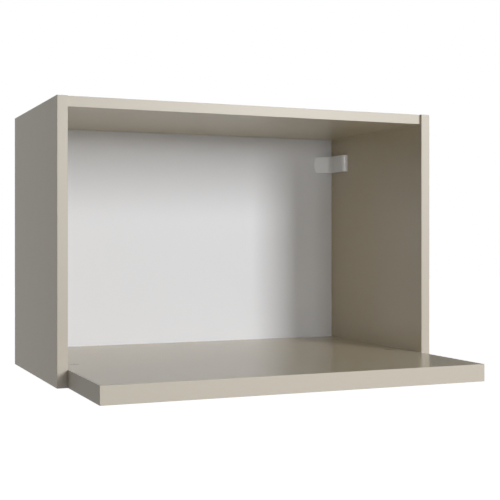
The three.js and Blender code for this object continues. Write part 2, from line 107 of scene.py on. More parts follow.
def applyPlace(piece):
    select(piece)
    bpy.ops.object.transform_apply(location=True, rotation=True, scale=True)


def addBlock(low, high):
    bpy.ops.object.select_all(action="DESELECT")
    middle = [(a + b) / 2 for a, b in zip(low, high)]
    size = [b - a for a, b in zip(low, high)]
    bpy.ops.mesh.primitive_cube_add(size=1, location=middle, scale=size)
    applyPlace(bpy.context.object)
    return bpy.context.object


def addRod(radius, low, high, sides=48):
    bpy.ops.object.select_all(action="DESELECT")
    bpy.ops.mesh.primitive_cylinder_add(
        vertices=sides, radius=radius, depth=high - low, location=(0, 0, (low + high) / 2)
    )
    applyPlace(bpy.context.object)
    return bpy.context.object


def startEdit(piece):
    select(piece)
    bpy.ops.object.mode_set(mode="EDIT")
    bpy.ops.mesh.select_all(action="SELECT")


def endEdit():
    bpy.ops.object.mode_set(mode="OBJECT")


# Selects what passes the test, which gets an item's middle, and an edge's line or a face's normal
def pick(kind, test):
    bpy.ops.mesh.select_mode(type=kind)
    bpy.ops.mesh.select_all(action="DESELECT")
    work = bmesh.from_edit_mesh(bpy.context.object.data)
    if kind == "VERT":
        chosen = [vert for vert in work.verts if test(vert.co)]
    elif kind == "EDGE":
        chosen = []
        for edge in work.edges:
            start, end = (vert.co for vert in edge.verts)
            if test((start + end) / 2, (end - start).normalized()):
                chosen.append(edge)
    else:
        chosen = [face for face in work.faces if test(face.calc_center_median(), face.normal)]
    for item in chosen:
        item.select_set(True)
    work.select_flush_mode()
    bmesh.update_edit_mesh(bpy.context.object.data)


def applyModifier(piece, kind, **settings):
    select(piece)
    modifier = piece.modifiers.new(kind.lower(), kind)
    for setting, value in settings.items():
        setattr(modifier, setting, value)
    bpy.ops.object.modifier_apply(modifier=modifier.name)


# Joins, cuts or overlaps a piece with a tool, and takes the tool away
def combine(piece, tool, operation):
    applyModifier(piece, "BOOLEAN", object=tool, operation=operation, solver="EXACT")
    bpy.data.objects.remove(tool)
    return piece


def faceOutwards(piece):
    startEdit(piece)
    bpy.ops.mesh.remove_doubles(threshold=tiny / 10)
    bpy.ops.mesh.select_all(action="SELECT")
    bpy.ops.mesh.normals_make_consistent(inside=False)
    endEdit()


# A round piece about Z, drawn up ring by ring from [radius, height] pairs in millimetres
def turnedPiece(rings, sides=48):
    bpy.ops.object.select_all(action="DESELECT")
    radius, height = rings[0]
    bpy.ops.mesh.primitive_circle_add(
        vertices=sides, radius=radius * mm, fill_type="NGON", location=(0, 0, height * mm)
    )
    piece = bpy.context.object
    applyPlace(piece)
    startEdit(piece)
    for nextRadius, nextHeight in rings[1:]:
        rise = (nextHeight - height) * mm
        bpy.ops.mesh.extrude_region_move(TRANSFORM_OT_translate={"value": (0, 0, rise)})
        grow = nextRadius / radius
        bpy.ops.transform.resize(value=(grow, grow, 1), center_override=(0, 0, nextHeight * mm))
        radius, height = nextRadius, nextHeight
    endEdit()
    faceOutwards(piece)
    return piece


# Takes out the slivers that a cut leaves
def mergeSlivers(piece):
    startEdit(piece)
    bpy.ops.mesh.remove_doubles(threshold=tiny)
    bpy.ops.mesh.select_all(action="SELECT")
    bpy.ops.mesh.dissolve_degenerate(threshold=tiny)
    bpy.ops.mesh.select_all(action="SELECT")
    bpy.ops.mesh.quads_convert_to_tris()
    endEdit()
    return piece


# How far a thread's ridge is sunk into the core, its half width as a share of the pitch, and steps in a turn
ridgeShape = {"sunk": 0.1, "width": 0.42, "steps": 16}


# A right-hand screw thread about Z, joined to the piece whose core it winds round
def addThread(piece, thread):
    bpy.ops.object.select_all(action="DESELECT")
    pitch = thread["pitch"] * mm
    sunk, steps = ridgeShape["sunk"], ridgeShape["steps"]
    height = (thread["radius"] - thread["core"] + sunk) * mm
    middle = thread["core"] * mm - sunk * mm + height / 3
    bpy.ops.mesh.primitive_circle_add(vertices=3, radius=1, location=(middle, 0, thread["low"] * mm))
    ridge = bpy.context.object
    ridge.rotation_euler = (math.radians(90), math.radians(90), 0)
    ridge.scale = (pitch * ridgeShape["width"], height * 2 / 3, 1)
    applyPlace(ridge)
    turns = math.floor((thread["high"] - thread["low"]) / thread["pitch"])
    winding = {"screw_offset": pitch, "iterations": turns, "steps": steps, "render_steps": steps}
    applyModifier(ridge, "SCREW", axis="Z", angle=math.tau, **winding)
    startEdit(ridge)
    bpy.ops.mesh.remove_doubles(threshold=tiny / 10)
    bpy.ops.mesh.select_all(action="SELECT")
    bpy.ops.mesh.fill_holes(sides=0)
    bpy.ops.mesh.select_all(action="SELECT")
    bpy.ops.mesh.normals_make_consistent(inside=False)
    endEdit()
    return mergeSlivers(combine(piece, ridge, "UNION"))


crossFoot = (0.55, 0.75)  # a pressed cross's length and width at its foot, as shares of those at its mouth


# The tool that presses a cross into a face at z = 0
def crossTool(cross):
    half = [cross["length"] / 2 * mm, cross["width"] / 2 * mm]
    tools = []
    for turn in (0, 90):
        tool = addBlock((-half[0], -half[1], -cross["depth"] * mm), (half[0], half[1], mm))
        startEdit(tool)
        pick("VERT", lambda place: place.z < 0)
        bpy.ops.transform.resize(value=(crossFoot[0], crossFoot[1], 1), center_override=(0, 0, 0))
        endEdit()
        tool.rotation_euler.z = math.radians(turn)
        applyPlace(tool)
        tools.append(tool)
    return combine(tools[0], tools[1], "UNION")


def duplicatePiece(piece, place, turn=(0, 0, 0), mirror=False):
    select(piece)
    bpy.ops.object.duplicate()
    twin = bpy.context.object
    twin.location = place
    twin.rotation_euler = turn
    twin.scale.x = -1 if mirror else 1
    applyPlace(twin)
    if mirror:
        startEdit(twin)
        bpy.ops.mesh.normals_make_consistent(inside=False)
        endEdit()
    return twin


# A copy of a CAD node with its doubles merged and its sharp edges eased
def easedCopy(node, radius):
    select(frame["nodes"][node])
    bpy.ops.object.duplicate()
    piece = bpy.context.object
    piece.parent = None
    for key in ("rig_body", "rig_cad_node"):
        del piece[key]
    startEdit(piece)
    bpy.ops.mesh.remove_doubles(threshold=tiny)
    bpy.ops.mesh.select_all(action="SELECT")
    bpy.ops.mesh.dissolve_limited(angle_limit=math.radians(1))
    endEdit()
    sharp = math.radians(40)
    applyModifier(piece, "BEVEL", width=radius * mm, segments=2, limit_method="ANGLE", angle_limit=sharp)
    return piece


def middleOf(node):
    low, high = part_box(node)
    return (Vector(low) + Vector(high)) / 2


# Shades a piece so that flat faces stay flat beside rounded edges, names it for the node that it stands
# for, and lets it ride where that node rides
def standIn(piece, node, material):
    select(piece)
    bpy.ops.object.shade_smooth_by_angle(angle=math.radians(30))
    applyModifier(piece, "WEIGHTED_NORMAL", keep_sharp=True, weight=100)
    piece.data.materials.clear()
    piece.data.materials.append(material)
    piece.name = node + "_finished"
    piece.data.name = piece.name
    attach(piece, bodyOf[node])
    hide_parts(node)
    return piece


def linear(hexColour):
    channels = [int(hexColour[start : start + 2], 16) / 255 for start in (1, 3, 5)]
    return [c / 12.92 if c <= 0.04045 else ((c + 0.055) / 1.055) ** 2.4 for c in channels] + [1]


# Adds a node with its settings; an input takes a value or another node's output. A Mix node's inputs go
# by number: 0 is the factor, 2 and 3 are values, and 6 and 7 are colours, which come out at 2.
def addNode(tree, kind, inputs=None, **settings):
    node = tree.nodes.new("ShaderNode" + kind)
    for setting, value in settings.items():
        setattr(node, setting, value)
    for key, value in (inputs or {}).items():
        if isinstance(value, bpy.types.NodeSocket):
            tree.links.new(value, node.inputs[key])
        else:
            node.inputs[key].default_value = value
    return node


def newMaterial(name):
    material = bpy.data.materials.new(name)
    material.use_nodes = True
    return material, material.node_tree, material.node_tree.nodes["Principled BSDF"]


# How many turns of a pattern go into a metre, from its size in millimetres
def perMetre(size):
    return 1 / (size * mm)


reliefDepth = 0.1 * mm


# Gives a surface its sheen and its fine relief, both from one pattern
def addGrain(tree, shader, pattern, look):
    ends = [look["roughness"] + change for change in look["spread"]]
    sheen = addNode(tree, "MapRange", {"Value": pattern, "To Min": ends[0], "To Max": ends[1]})
    bump = addNode(tree, "Bump", {"Strength": look["relief"], "Distance": reliefDepth, "Height": pattern})
    tree.links.new(sheen.outputs["Result"], shader.inputs["Roughness"])
    tree.links.new(bump.outputs["Normal"], shader.inputs["Normal"])


melamine = {
    "colour": "#c5baa3",
    "shade": "#c2b7a0",  # where the printed paper is a touch deeper
    "chips": ("#957449", "#b9976a", "#d0b384"),  # the core, from its darkest chips to its palest
    "paper": 0.15,  # how far the resin paper covers a raw edge
    "sealed": 0.2,  # how far up the lower ends are sealed
    "roughness": 0.25,
    "spread": 0.03,
    "rawRoughness": 0.9,
    "index": 1.65,
    "relief": 0.035,
    "rawRelief": 0.5,
    "reliefDepth": 0.15,
    "pearlSize": 1.1,
    "mottleSize": 30,
    "chipLength": 2.6,
    "chipThickness": 0.8,
}


# Melamine-faced chipboard: printed paper soaked in resin and pressed hot against a finely pearled plate.
# It gives a satin beige that is matt from straight on and mirrors softly at a low angle. Sawn edges
# show the pressed chips of the core. The pearl is drawn coarser than the real one, so that it shows.
def melamineBoard(name, axis, cores):
    material, tree, shader = newMaterial(name)
    place = addNode(tree, "TexCoord").outputs["Object"]
    axes = addNode(tree, "SeparateXYZ", {"Vector": place}).outputs
    across = addNode(tree, "Math", {0: axes[axis]}, operation="ABSOLUTE").outputs[0]
    inside = None
    for low, high in cores:
        reach = {0: across, 1: (low + high) / 2, 2: (high - low) / 2 - melamine["paper"] * mm}
        core = addNode(tree, "Math", reach, operation="COMPARE").outputs[0]
        if inside is None:
            inside = core
        else:
            inside = addNode(tree, "Math", {0: inside, 1: core}, operation="MAXIMUM").outputs[0]
    foot = {0: axes["Z"], 1: melamine["sealed"] * mm}
    unsealed = addNode(tree, "Math", foot, operation="GREATER_THAN").outputs[0]
    raw = addNode(tree, "Math", {0: inside, 1: unsealed}, operation="MULTIPLY").outputs[0]

    mottleLook = {"Vector": place, "Scale": perMetre(melamine["mottleSize"]), "Detail": 4, "Roughness": 0.6}
    mottle = addNode(tree, "TexNoise", mottleLook).outputs["Fac"]
    shades = {0: mottle, 6: linear(melamine["shade"]), 7: linear(melamine["colour"])}
    paper = addNode(tree, "Mix", shades, data_type="RGBA").outputs[2]
    squash = [perMetre(melamine["chipThickness" if letter == axis else "chipLength"]) for letter in "XYZ"]
    chipPlace = addNode(tree, "Mapping", {"Vector": place, "Scale": squash}).outputs["Vector"]
    chips = addNode(tree, "TexVoronoi", {"Vector": chipPlace, "Scale": 1, "Randomness": 1}, feature="F1")
    chipTone = addNode(tree, "SeparateXYZ", {"Vector": chips.outputs["Color"]}).outputs["X"]
    # A new ramp has two stops
    chipRamp = addNode(tree, "ValToRGB", {"Fac": chipTone})
    stops = chipRamp.color_ramp.elements
    for index, colour in enumerate(melamine["chips"]):
        stop = stops[index] if index < 2 else stops.new(1)
        stop.position = index / (len(melamine["chips"]) - 1)
        stop.color = linear(colour)
    colours = {0: raw, 6: paper, 7: chipRamp.outputs["Color"]}
    colour = addNode(tree, "Mix", colours, data_type="RGBA").outputs[2]
    tree.links.new(colour, shader.inputs["Base Color"])

    pearlLook = {"Vector": place, "Scale": perMetre(melamine["pearlSize"]), "Detail": 2}
    pearl = addNode(tree, "TexNoise", pearlLook).outputs["Fac"]
    satinEnds = [melamine["roughness"] + sign * melamine["spread"] for sign in (-1, 1)]
    satin = addNode(tree, "MapRange", {"Value": pearl, "To Min": satinEnds[0], "To Max": satinEnds[1]})
    sheens = {0: raw, 2: satin.outputs["Result"], 3: melamine["rawRoughness"]}
    tree.links.new(addNode(tree, "Mix", sheens).outputs[0], shader.inputs["Roughness"])
    height = addNode(tree, "Mix", {0: raw, 2: pearl, 3: chips.outputs["Distance"]}).outputs[0]
    relief = addNode(tree, "Mix", {0: raw, 2: melamine["relief"], 3: melamine["rawRelief"]}).outputs[0]
    depth = melamine["reliefDepth"] * mm
    bump = addNode(tree, "Bump", {"Strength": relief, "Distance": depth, "Height": height})
    tree.links.new(bump.outputs["Normal"], shader.inputs["Normal"])
    shader.inputs["IOR"].default_value = melamine["index"]
    return material


edging = {
    "colour": "#c3bbad",
    "roughness": 0.42,
    "spread": (-0.03, 0.04),
    "index": 1.53,
    "relief": 0.03,
    "scrapeWidth": 0.5,
}


# ABS edging: an extruded strip, glued on and scraped flush. It is duller than the board, with a very
# faint unevenness that the scraper leaves.
def absEdging():
    material, tree, shader = newMaterial("absEdging")
    place = addNode(tree, "TexCoord").outputs["Object"]
    scrapeLook = {"Vector": place, "Scale": perMetre(edging["scrapeWidth"]), "Detail": 2}
    addGrain(tree, shader, addNode(tree, "TexNoise", scrapeLook).outputs["Fac"], edging)
    shader.inputs["Base Color"].default_value = linear(edging["colour"])
    shader.inputs["IOR"].default_value = edging["index"]
    return material


hardboard = {
    "front": "#e7e9ee",
    "rear": "#80603f",
    "rearPale": "#a07e58",
    "lacquer": 0.15,
    "fibreSize": 1.4,
    "roughness": 0.5,
    "rawRoughness": 0.85,
    "relief": 0.03,
    "rawRelief": 0.35,
}


# Hardboard: wood fibres pressed hot. Its front is primed and lacquered white on the line and has a low,
# even sheen; its rear and edges are the bare brown fibre, mottled and dull.
def whiteHardboard(frontY):
    material, tree, shader = newMaterial("whiteHardboard")
    place = addNode(tree, "TexCoord").outputs["Object"]
    depthPlace = addNode(tree, "SeparateXYZ", {"Vector": place}).outputs["Y"]
    lacquerY = frontY + hardboard["lacquer"] * mm
    raw = addNode(tree, "Math", {0: depthPlace, 1: lacquerY}, operation="GREATER_THAN").outputs[0]
    fibreLook = {"Vector": place, "Scale": perMetre(hardboard["fibreSize"]), "Detail": 6, "Roughness": 0.7}
    fibres = addNode(tree, "TexNoise", fibreLook).outputs["Fac"]
    spread = addNode(tree, "MapRange", {"Value": fibres, "From Min": 0.3, "From Max": 0.7}).outputs["Result"]
    browns = {0: spread, 6: linear(hardboard["rear"]), 7: linear(hardboard["rearPale"])}
    brown = addNode(tree, "Mix", browns, data_type="RGBA").outputs[2]
    colours = {0: raw, 6: linear(hardboard["front"]), 7: brown}
    colour = addNode(tree, "Mix", colours, data_type="RGBA").outputs[2]
    tree.links.new(colour, shader.inputs["Base Color"])
    sheens = {0: raw, 2: hardboard["roughness"], 3: hardboard["rawRoughness"]}
    tree.links.new(addNode(tree, "Mix", sheens).outputs[0], shader.inputs["Roughness"])
    relief = addNode(tree, "Mix", {0: raw, 2: hardboard["relief"], 3: hardboard["rawRelief"]}).outputs[0]
    bump = addNode(tree, "Bump", {"Strength": relief, "Distance": reliefDepth, "Height": fibres})
    tree.links.new(bump.outputs["Normal"], shader.inputs["Normal"])
    return material


moulded = {"grainSize": 0.7, "relief": 0.04, "spread": (-0.04, 0.04)}
plastics = {
    "cover": {"colour": "#f1f4f9", "roughness": 0.16, "index": 1.75},
    # The cap is darker than the board: partly its own tone, and partly painted shade that stands in for the
    # dark gap round its rim.
    "cap": {"colour": "#a59d8e", "roughness": 0.26, "index": 1.6},
}


# Moulded ABS: a fine spark-eroded grain from the mould. The index is raised over the plastic's own 1.54,
# to match how brightly the cover mirrors the room.
def mouldedPlastic(name, plastic):
    material, tree, shader = newMaterial(name)
    place = addNode(tree, "TexCoord").outputs["Object"]
    grainLook = {"Vector": place, "Scale": perMetre(moulded["grainSize"]), "Detail": 3}
    addGrain(tree, shader, addNode(tree, "TexNoise", grainLook).outputs["Fac"], {**moulded, **plastic})
    shader.inputs["Base Color"].default_value = linear(plastic["colour"])
    shader.inputs["IOR"].default_value = plastic["index"]
    return material


metals = {
    "zinc": {
        "pale": "#aaaaa5",
        "deep": "#8f8f8b",
        "roughness": 0.42,
        "spread": (0.08, -0.08),
        "spotSize": 1.6,
        "relief": 0.12,
    },
    "steel": {
        "pale": "#c9c6ba",
        "deep": "#a9a598",
        "roughness": 0.3,
        "spread": (0.08, -0.08),
        "spotSize": 2.5,
        "relief": 0.05,
    },
}


# Zinc die casting is dull, with faint flow marks. Plated steel is brighter, with the plating's soft
# change of tone.
def metal(name, look):
    material, tree, shader = newMaterial(name)
    place = addNode(tree, "TexCoord").outputs["Object"]
    spotLook = {"Vector": place, "Scale": perMetre(look["spotSize"]), "Detail": 5}
    spots = addNode(tree, "TexNoise", spotLook).outputs["Fac"]
    tones = {0: spots, 6: linear(look["deep"]), 7: linear(look["pale"])}
    colour = addNode(tree, "Mix", tones, data_type="RGBA").outputs[2]
    tree.links.new(colour, shader.inputs["Base Color"])
    addGrain(tree, shader, spots, look)
    shader.inputs["Metallic"].default_value = 1
    return material


beech = {
    "pale": "#d2b083",
    "deep": "#a77e50",
    "fleckLength": 6,
    "fleckWidth": 0.4,
    "roughness": 0.6,
    "relief": 0.2,
}


# Beech, turned to a rod and pressed with grooves: short dark flecks along the grain.
def beechDowel():
    material, tree, shader = newMaterial("beechDowel")
    place = addNode(tree, "TexCoord").outputs["Object"]
    grain = [perMetre(beech[size]) for size in ("fleckLength", "fleckWidth", "fleckWidth")]
    stretch = addNode(tree, "Mapping", {"Vector": place, "Scale": grain}).outputs["Vector"]
    flecks = addNode(tree, "TexNoise", {"Vector": stretch, "Scale": 1, "Detail": 3}).outputs["Fac"]
    tones = {0: flecks, 6: linear(beech["deep"]), 7: linear(beech["pale"])}
    colour = addNode(tree, "Mix", tones, data_type="RGBA").outputs[2]
    tree.links.new(colour, shader.inputs["Base Color"])
    bump = addNode(tree, "Bump", {"Strength": beech["relief"], "Distance": reliefDepth, "Height": flecks})
    tree.links.new(bump.outputs["Normal"], shader.inputs["Normal"])
    shader.inputs["Roughness"].default_value = beech["roughness"]
    return material


sideLow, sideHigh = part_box("side_right")
shelfLow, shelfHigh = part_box("bottom_shelf")
topLow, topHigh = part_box("top_panel")
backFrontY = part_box("back_panel")[0][1]
uprightBoard = melamineBoard("melamineBoardUpright", "X", [(sideLow[0], sideHigh[0])])
levelBoard = melamineBoard("melamineBoardLevel", "Z", [(shelfLow[2], shelfHigh[2]), (topLow[2], topHigh[2])])
edgingStrip = absEdging()
backSheet = whiteHardboard(backFrontY)
coverPlastic = mouldedPlastic("coverPlastic", plastics["cover"])
capPlastic = mouldedPlastic("capPlastic", plastics["cap"])
zinc = metal("zincDieCasting", metals["zinc"])
steel = metal("platedSteel", metals["steel"])
beechWood = beechDowel()
print("materials made")


# The boards keep their drilled shapes and get their finish
boards = {
    "side_left": uprightBoard,
    "side_right": uprightBoard,
    "top_panel": levelBoard,
    "bottom_shelf": levelBoard,
    "back_panel": backSheet,
}
for node, material in boards.items():
    mesh = frame["nodes"][node].data
    mesh.materials.clear()
    mesh.materials.append(material)
print("boards finished")


edgingShape = {"arris": 0.5, "arrisSteps": 4, "glueLine": 0.08}
# The radius of a hole through a strip at the shelf's end, for each kind of piece that passes through
endHoles = {"connecting_bolt_shelf_": 3.5, "dowel_shelf_": 4.2}


# An edging strip with its visible arrises rounded off. Only a strip with free ends has those rounded too.
def edgingPiece(node, outward, freeEnds):
    low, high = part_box(node)
    outward = Vector(outward)
    strip = addBlock(low, high)
    middle = (Vector(low) + Vector(high)) / 2
    size = Vector(high) - Vector(low)
    longAxis = max(range(3), key=lambda axis: size[axis])
    reach = abs(size.dot(outward)) / 2

    def onFace(place, side):
        return abs((place - middle).dot(outward) - side * reach) < tiny

    startEdit(strip)
    pick("EDGE", lambda place, line: onFace(place, 1) and (freeEnds or abs(line[longAxis]) > aligned))
    steps = edgingShape["arrisSteps"]
    bpy.ops.mesh.bevel(offset=edgingShape["arris"] * mm, segments=steps, affect="EDGES")
    pick("EDGE", lambda place, line: onFace(place, -1) and abs(line[longAxis]) > aligned)
    bpy.ops.mesh.bevel(offset=edgingShape["glueLine"] * mm, segments=1, affect="EDGES")
    endEdit()
    return strip


# Drills a strip at the shelf's end for the bolts and dowels on its hand
def drillStrip(strip, sign):
    drill = 30 * mm
    for node in frame["nodes"]:
        for kind, radius in endHoles.items():
            if node.startswith(kind) and middleOf(node).x * sign > 0:
                hole = addRod(radius * mm, -drill, drill, sides=24)
                hole.rotation_euler.y = math.radians(90)
                hole.location = middleOf(node)
                applyPlace(hole)
                combine(strip, hole, "DIFFERENCE")


for hand, sign in hands.items():
    node = "edging_side_" + hand
    standIn(edgingPiece(node, (0, -1, 0), True), node, edgingStrip)
    node = "edging_shelf_" + hand + "_end"
    strip = edgingPiece(node, (sign, 0, 0), False)
    drillStrip(strip, sign)
    standIn(strip, node, edgingStrip)
for node, freeEnds in (("edging_top_front", False), ("edging_shelf_front", True)):
    standIn(edgingPiece(node, (0, -1, 0), freeEnds), node, edgingStrip)
print("edgings made")


cover = {
    "wall": 1,
    "frontThickness": 10.5,
    "rearThickness": 8.1,
    "noseRound": 6.5,
    "taperStart": 8.8,  # from the front
    "rampFoot": 14.2,  # from the back
    "bendReach": 8,
    "bendSteps": 8,
    "endBow": 3.9,
    "fillet": 1,
    "filletSteps": 3,
}


# The right-hand cover as a solid, or its hollow when it is drawn in by a wall
def coverSolid(wall, past):
    low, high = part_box("hanger_right_cover")
    side, back, front = high[0], high[1], low[1] + wall
    reach = high[0] - low[0]
    slope = cover["rampFoot"] * mm / (reach - cover["rearThickness"] * mm)
    shift = wall * math.hypot(1, slope)
    armX = side - cover["frontThickness"] * mm + wall
    rearX = side - cover["rearThickness"] * mm + wall
    footY = back - (reach - side + rearX) * slope + shift
    tipX = side - reach + (shift - past) / slope
    solid = addBlock((armX, front, low[2] + wall), (side + past, back + past, high[2] - wall))
    startEdit(solid)
    for cutY in (low[1] + cover["taperStart"] * mm, footY):
        bpy.ops.mesh.select_all(action="SELECT")
        bpy.ops.mesh.bisect(plane_co=(0, cutY, 0), plane_no=(0, 1, 0))
    pick("VERT", lambda place: place.x < armX + tiny and place.y > footY - tiny)
    bpy.ops.transform.translate(value=(rearX - armX, 0, 0))
    pick("FACE", lambda place, normal: normal.x < -aligned and place.y > footY)
    bpy.ops.mesh.extrude_region_move(TRANSFORM_OT_translate={"value": (tipX - rearX, 0, 0)})
    pick("VERT", lambda place: place.x < tipX + tiny and place.y < footY + tiny)
    bpy.ops.transform.translate(value=(0, back + past - footY, 0))
    bpy.ops.mesh.select_all(action="SELECT")
    bpy.ops.mesh.remove_doubles(threshold=tiny)

    def atNose(place):
        return place.x < armX + tiny and place.y < front + tiny

    def atFoot(place):
        return (place - Vector((rearX, footY, place.z))).length < tiny

    rounds = ((atNose, cover["noseRound"] * mm - wall), (atFoot, cover["bendReach"] * mm))
    for there, radius in rounds:
        pick("EDGE", lambda place, line: abs(line.z) > aligned and there(place))
        bpy.ops.mesh.bevel(offset=radius, segments=cover["bendSteps"], affect="EDGES")
    endEdit()
    return solid


def coverPiece():
    low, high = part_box("hanger_right_cover")
    half = (high[2] - low[2]) / 2
    wall = cover["wall"] * mm

    def onOutline(place, line):
        level = abs(line.z) < 1 - aligned and abs(place.z - (low[2] + high[2]) / 2) > half - tiny
        return level and place.x < high[0] - tiny and place.y < high[1] - tiny

    shell = coverSolid(0, 0)
    startEdit(shell)
    bpy.ops.mesh.dissolve_limited(angle_limit=math.radians(0.5))
    pick("EDGE", onOutline)
    bpy.ops.mesh.bevel(offset=cover["fillet"] * mm, segments=cover["filletSteps"], affect="EDGES")
    endEdit()
    hollow = coverSolid(wall, wall)
    bow = cover["endBow"] * mm
    bowRadius = (half**2 + bow**2) / (2 * bow)
    wellPast = 400 * mm
    for solid, inset in ((shell, 0), (hollow, 2 * wall)):
        barrel = addRod(bowRadius - inset, -wellPast, wellPast, sides=128)
        barrel.rotation_euler.x = math.radians(90)
        barrel.location = (low[0] + bowRadius, 0, low[2] + half)
        applyPlace(barrel)
        combine(solid, barrel, "INTERSECT")
    return combine(shell, hollow, "DIFFERENCE")


coverRight = coverPiece()
coverLeft = duplicatePiece(coverRight, (0, 0, 0), mirror=True)
standIn(coverRight, "hanger_right_cover", coverPlastic)
standIn(coverLeft, "hanger_left_cover", coverPlastic)
print("hanger covers made")


cap = {
    "radius": 7.35,
    "thickness": 1.2,
    "edge": 0.25,
    "edgeBend": 0.3,  # where the upper edge bends, as a share of it
    "dish": 0.12,
    "dishRim": 1.1,
    "cross": (5, 1, 2),  # length, width and depth
}


# A cap is moulded with a faint dish in its face and a cross under it that grips the cam's drive
def capPiece():
    radius, edge, under = cap["radius"], cap["edge"], -cap["thickness"]
    bend = edge * cap["edgeBend"]
    rings = [
        [radius - edge, under],
        [radius, edge + under],
        [radius, -edge],
        [radius - bend, -bend],
        [radius - edge, 0],
    ]
    disc = turnedPiece(rings, sides=72)
    startEdit(disc)
    pick("FACE", lambda place, normal: normal.z > aligned)
    bpy.ops.mesh.inset(thickness=cap["dishRim"] * mm)
    bpy.ops.mesh.inset(thickness=cap["dishRim"] * mm, depth=-cap["dish"] * mm)
    endEdit()
    length, width, depth = [value * mm for value in cap["cross"]]
    for x, y in ((length, width), (width, length)):
        leg = addBlock((-x / 2, -y / 2, under * mm - depth), (x / 2, y / 2, under / 2 * mm))
        combine(disc, leg, "UNION")
    return disc


capModel = capPiece()
for node in frame["nodes"]:
    if node.startswith("cam_cap_"):
        place = middleOf(node)
        place.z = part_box(node)[1][2]
        standIn(duplicatePiece(capModel, place), node, capPlastic)
bpy.data.objects.remove(capModel)
print("cam caps made")


cam = {
    "radius": 7.35,
    "edge": 0.35,
    "drive": {"length": 6, "width": 1.5, "depth": 2.5},
    "arrow": (5.4, 1, 0.35),  # the mark's place, size and depth: it points to the bolt
    "cavity": 3.9,
    "cavityPlace": (-0.09, 0.45),  # off centre, so that the cam pulls as it turns
    "mouth": 3.6,
    "slot": 2.1,
    "turn": 190,
}


# A cam with its cavity, the slot round it for the bolt's neck, and the drive in its face.
# It is drawn with the bolt's axis at z = 0 and its slot towards +X.
def camPiece(below, above):
    radius, edge = cam["radius"], cam["edge"]
    rings = [[radius - edge, below], [radius, below + edge], [radius, above - edge], [radius - edge, above]]
    body = turnedPiece(rings, sides=64)
    reach, slot, mouth = (radius + 1) * mm, cam["slot"] * mm, cam["mouth"] * mm
    cavity = addRod(cam["cavity"] * mm, -mouth, mouth)
    cavity.location = [offset * mm for offset in cam["cavityPlace"]] + [0]
    applyPlace(cavity)
    combine(body, cavity, "DIFFERENCE")
    combine(body, addBlock((-reach, -reach, -slot), (reach, 0, slot)), "DIFFERENCE")
    combine(body, addBlock((0, -slot, -slot), (reach, slot, slot)), "DIFFERENCE")
    way = addBlock((0, -mouth, -mouth), (reach, mouth, mouth))
    way.rotation_euler.z = math.radians(-cam["turn"])
    applyPlace(way)
    combine(body, way, "DIFFERENCE")
    drive = crossTool(cam["drive"])
    drive.location.z = above * mm
    applyPlace(drive)
    combine(body, drive, "DIFFERENCE")
    place, size, depth = [value * mm for value in cam["arrow"]]
    arrow = addRod(size, -depth, depth, sides=3)
    arrow.rotation_euler.z = math.radians(-90)
    arrow.location = (place, 0, above * mm)
    applyPlace(arrow)
    return combine(body, arrow, "DIFFERENCE")


# The bolts run at half the thickness of their board
for level, underside, half in (("shelf", shelfLow[2], 12.5), ("top", topLow[2], 7.5)):
    boltZ = underside / mm + half
    low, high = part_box("cam_lock_" + level + "_right_front")
    model = camPiece(low[2] / mm - boltZ, high[2] / mm - boltZ)
    for hand, sign in hands.items():
        for end in ("front", "rear"):
            node = "_".join(("cam_lock", level, hand, end))
            place = middleOf(node)
            place.z = boltZ * mm
            turn = 0 if sign > 0 else math.pi
            standIn(duplicatePiece(model, place, (0, 0, turn)), node, zinc)
    bpy.data.objects.remove(model)
print("cams made")


# Screws are drawn head up, with the head's face at z = 0. A flush head is countersunk.
screws = {
    "back": {
        "head": 3,
        "headDepth": 2,
        "radius": 1.5,
        "core": 1.05,
        "length": 16,
        "pitch": 1.2,
        "flush": True,
    },
    "fixing": {
        "head": 2.6,
        "headDepth": 1.25,
        "radius": 1.5,
        "core": 1.05,
        "length": 12,
        "pitch": 1.2,
        "flush": True,
    },
    "height": {
        "head": 2.4,
        "headDepth": 2.25,
        "radius": 1.5,
        "core": 1.15,
        "length": 25.85,
        "pitch": 1,
        "flush": False,
    },
    "depth": {
        "head": 2.5,
        "headDepth": 2.4,
        "radius": 1.75,
        "core": 1.35,
        "length": 18.25,
        "pitch": 1,
        "flush": False,
    },
}
# A flush head ends in a cone, and its shank in a point. A head that stands proud is cheese-shaped, and its
# shank ends in a chamfer.
flushHead = {
    "edge": 0.15,
    "coneEnd": 0.2,
    "tipRadius": 0.15,
    "tipLength": 1.5,
    "threadStart": 1.6,
    "threadEnd": 1.2,
}
proudHead = {"rim": 0.15, "crown": 0.4, "tip": 0.3, "threadStart": 0.6, "threadEnd": 0.6}
screwCross = {"length": 2.6, "width": 0.7, "depth": 1}


def screwPiece(shape):
    head, core, under, foot = shape["head"], shape["core"], -shape["headDepth"], -shape["length"]
    if shape["flush"]:
        form = flushHead
        edge = form["edge"]
        shank = [[form["tipRadius"], foot], [core, foot + form["tipLength"]]]
        crown = [[core, under - form["coneEnd"]], [head - edge, -edge], [head, 0]]
    else:
        form = proudHead
        rim, top, tip = form["rim"], form["crown"], form["tip"]
        shank = [[core - tip, foot], [core, foot + tip]]
        crown = [[core, under], [head - rim, under], [head, under + rim], [head, -top], [head - top, 0]]
    body = turnedPiece(shank + crown)
    thread = {key: shape[key] for key in ("radius", "core", "pitch")}
    thread["low"] = foot + form["threadStart"]
    thread["high"] = under - form["threadEnd"]
    addThread(body, thread)
    return mergeSlivers(combine(body, crossTool(screwCross), "DIFFERENCE"))


# Sets copies of a screw into their nodes, each with its head's face looking the way given
def setScrews(kind, facings):
    model = screwPiece(screws[kind])
    for node, facing in facings.items():
        low, high = (Vector(corner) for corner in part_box(node))
        facing = Vector(facing)
        place = (low + high) / 2 + facing * abs((high - low).dot(facing)) / 2
        turn = Vector((0, 0, 1)).rotation_difference(facing).to_euler()
        standIn(duplicatePiece(model, place, turn), node, steel)
    bpy.data.objects.remove(model)


